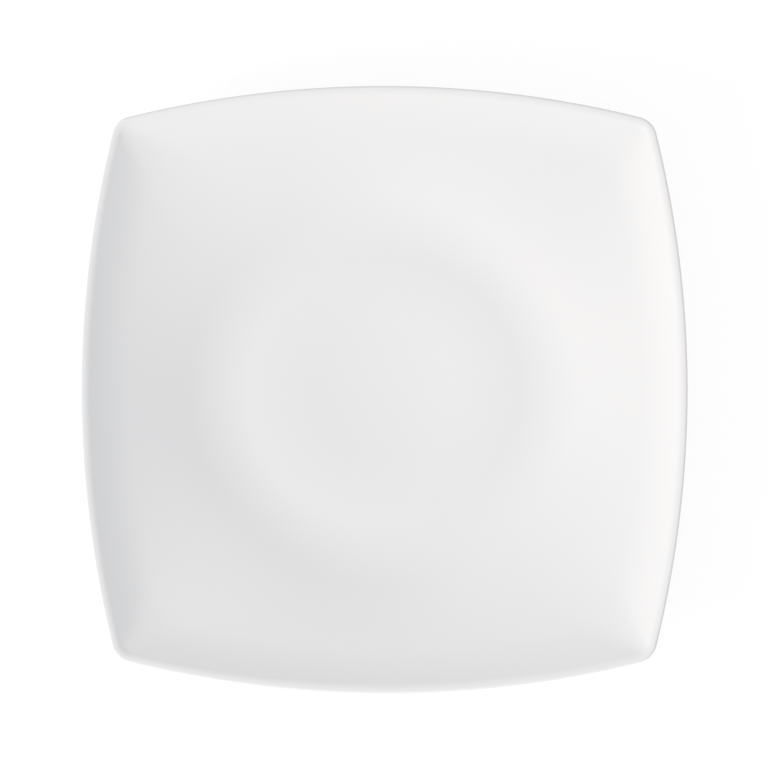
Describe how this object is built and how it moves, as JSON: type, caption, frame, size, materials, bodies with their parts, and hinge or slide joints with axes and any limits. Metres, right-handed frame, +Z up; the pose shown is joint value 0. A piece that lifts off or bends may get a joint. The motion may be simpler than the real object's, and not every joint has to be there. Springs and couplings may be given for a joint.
{
  "type": "dinner plate",
  "caption": "Square dinner plate of white opal glass with bowed sides and rounded corners, a round, shallow well, an upturned rim and a low foot ring, for serving a meal.",
  "frame": {"origin": "on the table, under the middle of the plate", "axes": "+Z up, out of the well; +X and +Y through the middles of two neighbouring sides"},
  "size_m": [0.265, 0.265, 0.0229],
  "materials": {
    "opal_glass": "gloss"
  },
  "bodies": {
    "root": {"plate": "opal_glass"}
  },
  "joints": []
}
